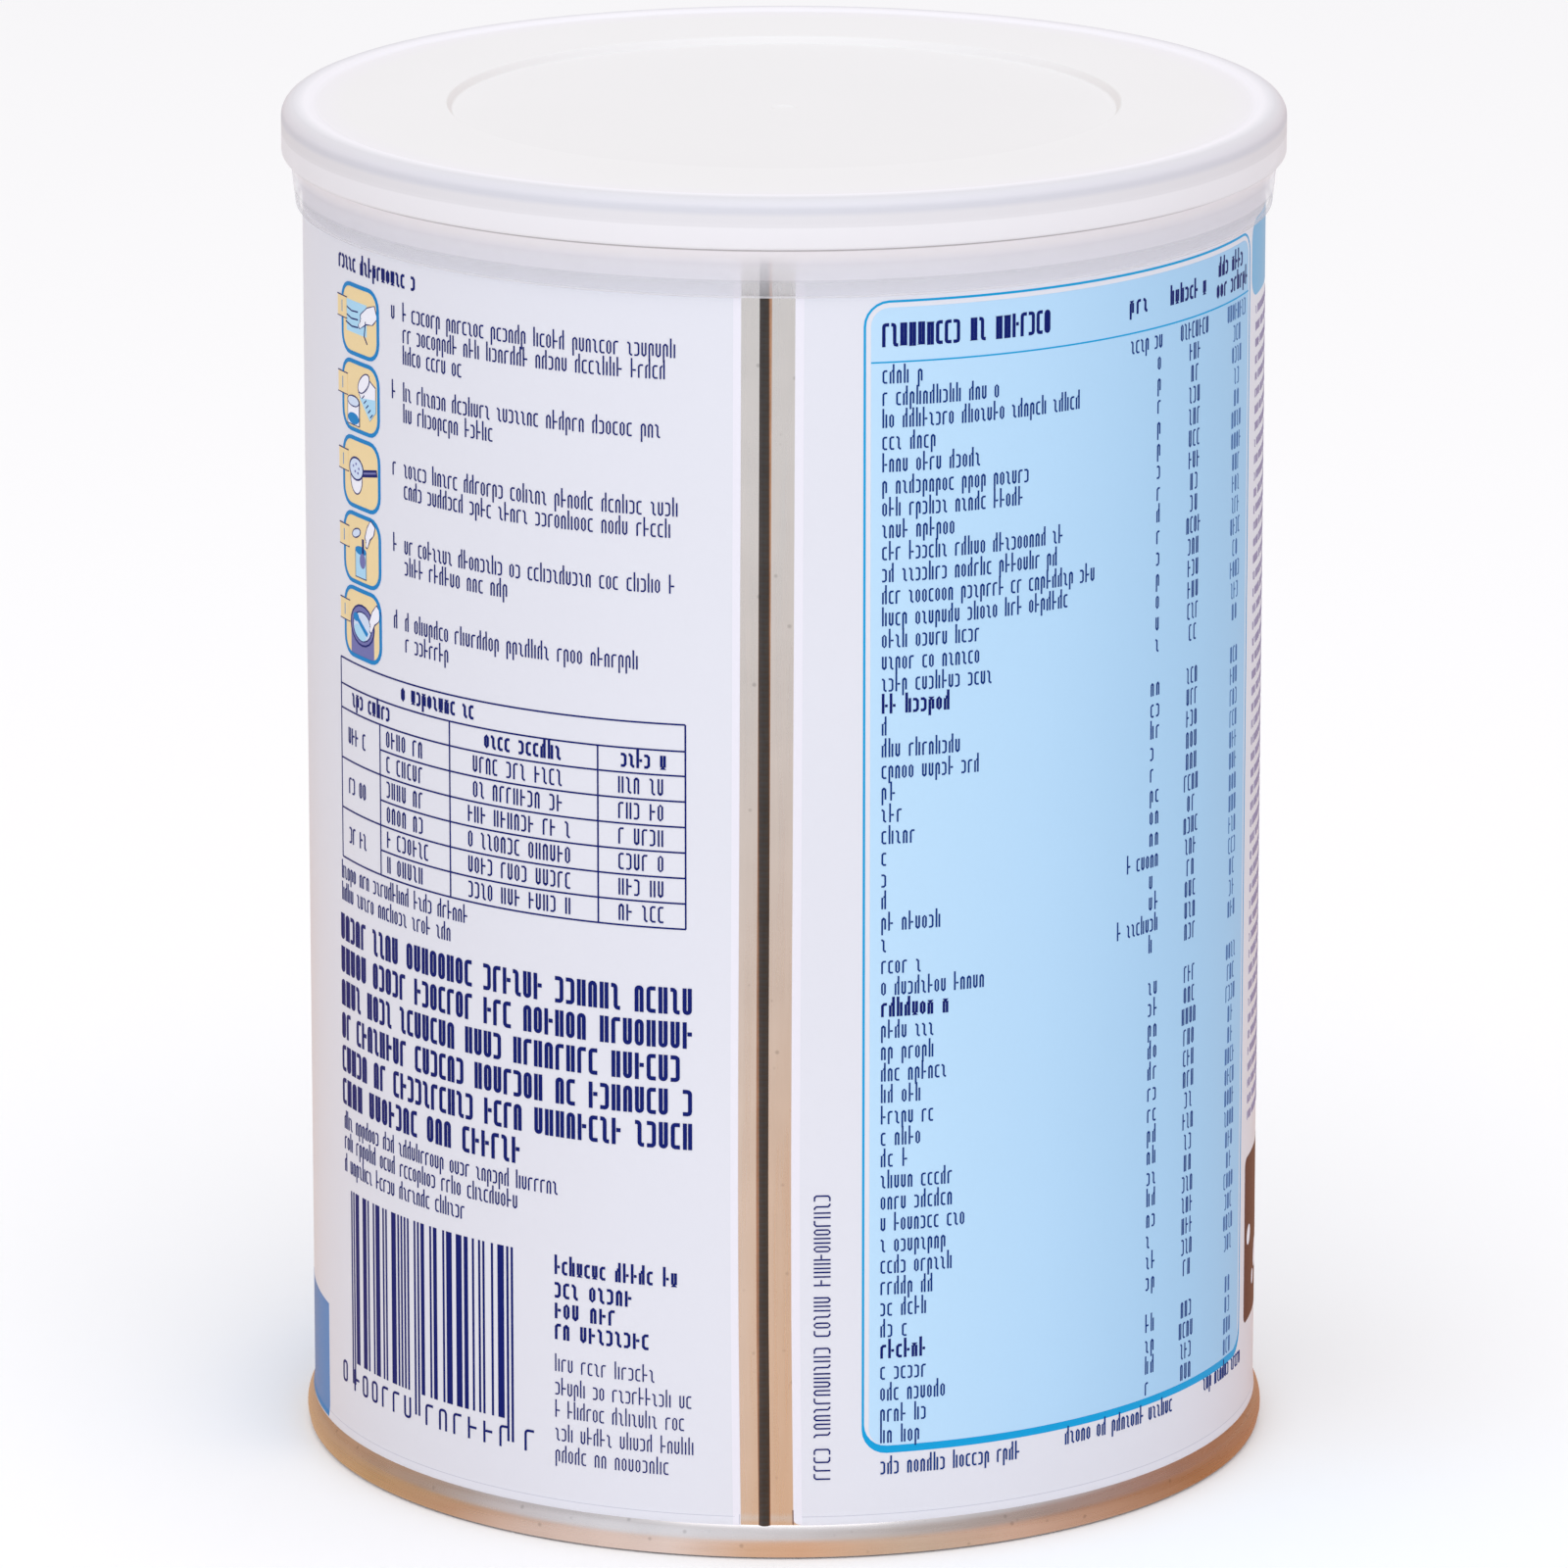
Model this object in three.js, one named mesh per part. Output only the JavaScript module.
// Nutritional formula tin: a shut three-piece steel tin with a plastic lid pushed over its rim.
// Millimetres, +Z up, origin at the centre of the circle on which the tin stands.

import * as THREE from "three";

// Body: one printed steel sheet, rolled and welded down the side
const BODY_RADIUS = 49.5;
const FLARE = 0.25;
const FLARE_HEIGHT = 2.2;

// Double seams that close the body at both ends
const SEAM_RADIUS = 50.3;
const SEAM_THICKNESS = 1.4;
const SEAM_HEIGHT = 3.3;
const SEAM_EDGE = 0.5;

// Ends: pressed discs, the lower one with a groove and two steps in its panel
const TIN_HEIGHT = 140;
const CHUCK_TAPER = 0.8;
const GROOVE_DEPTH = 3;
const GROOVE_WIDTH = 1.6;
const PANEL_DEPTH = 2.5;
const PANEL_STEPS = [
  { radius: 40, rise: 0.5 },
  { radius: 27, rise: 0.5 },
];
const STEP_WIDTH = 0.9;
const LOWER_END_TOP = 4.6;
const UPPER_END_TOP = 138.9;
const UPPER_END_BOTTOM = TIN_HEIGHT - LOWER_END_TOP;

// Lid: a thin moulding with a sunk centre, a wide collar round the upper seam
// and a narrower skirt that hugs the body
const LID_RADIUS = 51.6;
const LID_TOP = 141.1;
const LID_WALL = 0.85;
const SHOULDER_RADIUS = 1.4;
const RIM_INNER_RADIUS = 48;
const RIM_HEIGHT = 0.25;
const RIM_SLOPE = 0.8;
const SUNK_RADIUS = 34.6;
const SUNK_DEPTH = 0.75;
const SUNK_SLOPE = 0.5;
const COLLAR_BOTTOM = 135.7;
const COLLAR_EDGE = 0.35;
const SKIRT_TOP_RADIUS = 50.75;
const SKIRT_EDGE_RADIUS = 50.2;
const SKIRT_EDGE_WALL = 0.4;
const SKIRT_BOTTOM = 130.6;
const SKIRT_EDGE_ROUND = 0.15;

// Space between neighbouring pieces, and flat sides in a full turn
const GAP = 0.3;
const SIDES = 72;

const finishes = {
  print: new THREE.MeshStandardMaterial({ color: 0xe4e6f2, roughness: 0.35, metalness: 0.0 }),
  steel: new THREE.MeshStandardMaterial({ color: 0xc4c6c8, roughness: 0.3, metalness: 1.0 }),
  milky: new THREE.MeshStandardMaterial({ color: 0xf1f1f4, roughness: 0.4, metalness: 0.0 }),
};

// Points on a quarter or other arc in the (radius, height) half-plane, angles in degrees.
function arc(centreR, centreZ, radius, from, to, steps) {
  const points = [];
  for (let i = 0; i <= steps; i += 1) {
    const angle = THREE.MathUtils.degToRad(from + ((to - from) * i) / steps);
    points.push([centreR + radius * Math.cos(angle), centreZ + radius * Math.sin(angle)]);
  }
  return points;
}

// A profile turned about the Z axis. It starts on the axis at the bottom, runs outwards and up,
// and ends on the axis at the top, so that its faces point outwards.
function turned(name, profile, material) {
  const outline = profile.map(([radius, height]) => new THREE.Vector2(radius, height));
  const geometry = new THREE.LatheGeometry(outline, SIDES);
  geometry.rotateX(Math.PI / 2);
  const mesh = new THREE.Mesh(geometry, material);
  mesh.name = name;
  return mesh;
}

// The same profile seen upside down about a height, run in the opposite order.
function mirrored(profile, height) {
  return profile.map(([r, z]) => [r, height - z]).reverse();
}

// Inner radius of a seam's ring, and the radius that an end's disc has inside the body wall
const SEAM_INNER = SEAM_RADIUS - SEAM_THICKNESS;
const WALL_INNER = SEAM_INNER - GAP;
const DISC_RADIUS = WALL_INNER - GAP;

// Body, filled solid, with the wall flared out to meet each seam
function body() {
  const flared = BODY_RADIUS + FLARE;
  const seamTop = SEAM_HEIGHT + GAP;
  const lowerHalf = [
    [0, LOWER_END_TOP + GAP],
    [WALL_INNER, LOWER_END_TOP + GAP],
    [WALL_INNER, seamTop],
    [flared, seamTop],
    [BODY_RADIUS, seamTop + FLARE_HEIGHT],
  ];
  return turned("tin_body", [...lowerHalf, ...mirrored(lowerHalf, TIN_HEIGHT)], finishes.print);
}

// The ring of a seam from its inner foot, round its foot and its outside, to its upper face
function seamRing() {
  const outer = SEAM_RADIUS - SEAM_EDGE;
  const inner = SEAM_INNER + SEAM_EDGE;
  return [
    ...arc(inner, SEAM_EDGE, SEAM_EDGE, 180, 270, 3),
    ...arc(outer, SEAM_EDGE, SEAM_EDGE, -90, 0, 3),
    ...arc(outer, SEAM_HEIGHT - SEAM_EDGE, SEAM_EDGE, 0, 90, 3),
  ];
}

// Underside of the lower end, from its middle out to the seam: panel, steps, groove, chuck wall
function lowerPanel() {
  const points = [];
  let depth = PANEL_DEPTH;
  for (const step of [...PANEL_STEPS].reverse()) {
    points.push([step.radius, depth]);
    depth -= step.rise;
    points.push([step.radius + STEP_WIDTH, depth]);
  }
  const grooveOuter = SEAM_INNER - CHUCK_TAPER;
  points.push([grooveOuter - GROOVE_WIDTH - STEP_WIDTH, depth]);
  points.push([grooveOuter - GROOVE_WIDTH, GROOVE_DEPTH]);
  points.push([grooveOuter, GROOVE_DEPTH]);
  return [[0, PANEL_DEPTH], ...points];
}

function lowerEnd() {
  const profile = [
    ...lowerPanel(),
    ...seamRing(),
    [DISC_RADIUS, SEAM_HEIGHT],
    [DISC_RADIUS, LOWER_END_TOP],
    [0, LOWER_END_TOP],
  ];
  return turned("bottom_end", profile, finishes.steel);
}

// Upper end: the same seam the other way up, round a plain disc that ends just under the lid
function upperEnd() {
  const profile = [
    [0, UPPER_END_BOTTOM],
    [DISC_RADIUS, UPPER_END_BOTTOM],
    [DISC_RADIUS, TIN_HEIGHT - SEAM_HEIGHT],
    ...mirrored(seamRing(), TIN_HEIGHT),
    [SEAM_INNER - CHUCK_TAPER, UPPER_END_TOP],
    [0, UPPER_END_TOP],
  ];
  return turned("top_end", profile, finishes.steel);
}

// Outside of the lid, from the skirt's edge up over the collar and shoulder to the middle
function lidOutside() {
  const annulus = LID_TOP - RIM_HEIGHT;
  const floor = annulus - SUNK_DEPTH;
  const shoulder = LID_RADIUS - SHOULDER_RADIUS;
  return [
    [SKIRT_EDGE_RADIUS - SKIRT_EDGE_ROUND, SKIRT_BOTTOM],
    [SKIRT_EDGE_RADIUS, SKIRT_BOTTOM + SKIRT_EDGE_ROUND],
    [SKIRT_TOP_RADIUS, COLLAR_BOTTOM - COLLAR_EDGE],
    [SKIRT_TOP_RADIUS + SKIRT_EDGE_ROUND, COLLAR_BOTTOM],
    [LID_RADIUS - COLLAR_EDGE, COLLAR_BOTTOM],
    [LID_RADIUS, COLLAR_BOTTOM + COLLAR_EDGE],
    ...arc(shoulder, LID_TOP - SHOULDER_RADIUS, SHOULDER_RADIUS, 0, 90, 5),
    [RIM_INNER_RADIUS + RIM_SLOPE, LID_TOP],
    [RIM_INNER_RADIUS, annulus],
    [SUNK_RADIUS, annulus],
    [SUNK_RADIUS - SUNK_SLOPE, floor],
    [0, floor],
  ];
}

// Inside of the lid, from its middle out over the seam and down to the skirt's edge
function lidInside() {
  const annulus = LID_TOP - RIM_HEIGHT - LID_WALL;
  const floor = annulus - SUNK_DEPTH;
  const collar = LID_RADIUS - LID_WALL;
  const underSkirt = SKIRT_TOP_RADIUS - LID_WALL + SKIRT_EDGE_ROUND;
  const edge = SKIRT_EDGE_RADIUS - SKIRT_EDGE_WALL;
  return [
    [0, floor],
    [SUNK_RADIUS - SUNK_SLOPE + LID_WALL, floor],
    [SUNK_RADIUS + LID_WALL, annulus],
    [SEAM_INNER - RIM_SLOPE, annulus],
    [SEAM_INNER - GAP, LID_TOP - LID_WALL + SKIRT_EDGE_ROUND],
    [collar - SEAM_EDGE, LID_TOP - LID_WALL + SKIRT_EDGE_ROUND],
    [collar, LID_TOP - LID_WALL - SEAM_EDGE],
    [collar, COLLAR_BOTTOM + LID_WALL],
    [underSkirt, COLLAR_BOTTOM - COLLAR_EDGE],
    [edge, SKIRT_BOTTOM],
  ];
}

function lid() {
  return turned("lid", [...lidInside(), ...lidOutside()], finishes.milky);
}

const tin = new THREE.Group();
tin.add(body(), lowerEnd(), upperEnd(), lid());

export default tin;
